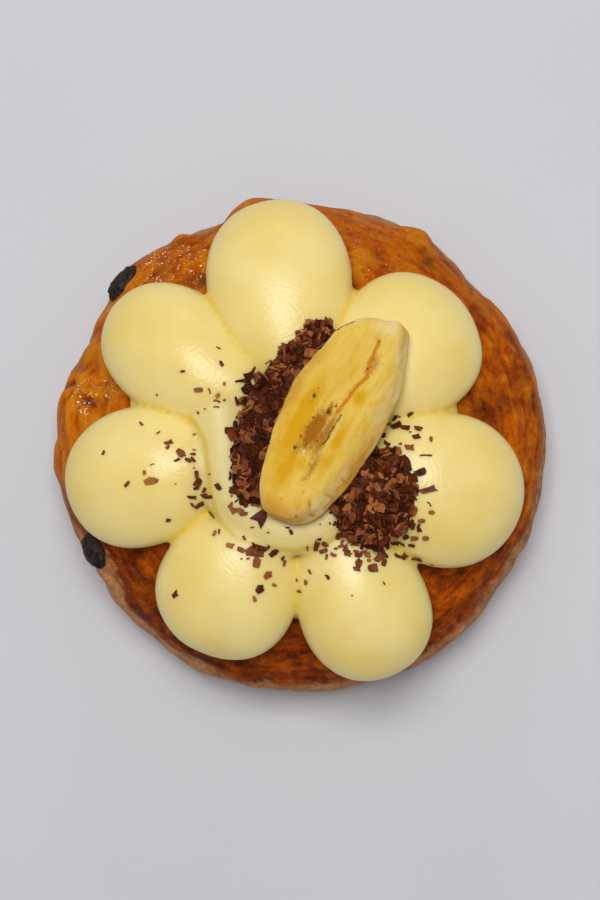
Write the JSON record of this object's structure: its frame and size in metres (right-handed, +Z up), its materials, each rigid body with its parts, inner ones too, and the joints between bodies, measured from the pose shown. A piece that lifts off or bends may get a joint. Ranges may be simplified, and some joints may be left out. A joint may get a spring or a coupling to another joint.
{
  "type": "banana bread",
  "caption": "Small round banana bread topped with a piped cream flower, heaps of grated chocolate and a slice of dried banana.",
  "frame": {"origin": "centre of the bread's flat base", "axes": "+Z up out of the top, +Y towards the largest cream petal, +X to the right of it as seen from above"},
  "size_m": [0.1205, 0.1213, 0.0619],
  "materials": {
    "crust": "brown glazed crust, satin on top and matt at the side",
    "raisin": "dark wrinkled dried fruit",
    "cream": "soft pale yellow cream with a satin skin",
    "chocolate": "matt grated dark chocolate",
    "banana": "dried banana flesh, satin, with a brown seed core"
  },
  "bodies": {
    "root": {"bread": "crust", "raisin_upper": "raisin", "raisin_lower": "raisin", "cream_dollop": "cream", "petal_top": "cream", "petal_upper_right": "cream", "petal_right": "cream", "petal_lower_right": "cream", "petal_lower_left": "cream", "petal_left": "cream", "petal_upper_left": "cream", "chocolate_left": "chocolate", "chocolate_right": "chocolate", "banana_slice": "banana"}
  },
  "joints": []
}
